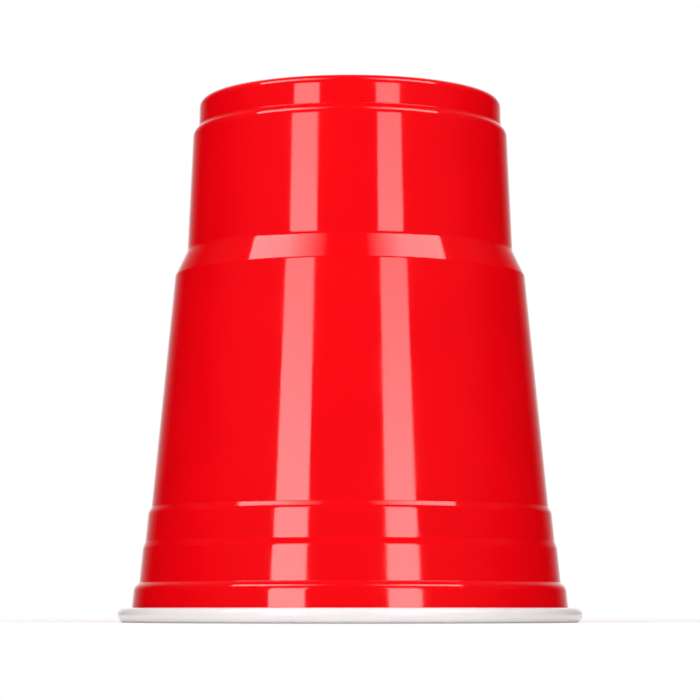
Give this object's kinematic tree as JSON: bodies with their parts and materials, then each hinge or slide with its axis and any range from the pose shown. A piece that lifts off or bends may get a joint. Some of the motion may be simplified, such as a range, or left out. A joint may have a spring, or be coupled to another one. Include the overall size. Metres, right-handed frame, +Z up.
{
  "type": "plastic party cup",
  "caption": "Tapered thermoformed drinking cup with a rolled white rim, ledges under the lip, a shoulder and a sunk base, standing mouth down.",
  "frame": {"origin": "centre of the plane that the rolled rim rests on", "axes": "+Z up the cup's axis, from the rim at the bottom to the foot ring at the top"},
  "size_m": [0.095, 0.095, 0.108],
  "materials": {
    "cup_sheet": "glossy thermoformed polystyrene sheet, red outside and white inside"
  },
  "bodies": {
    "root": {"party_cup": "cup_sheet"}
  },
  "joints": []
}
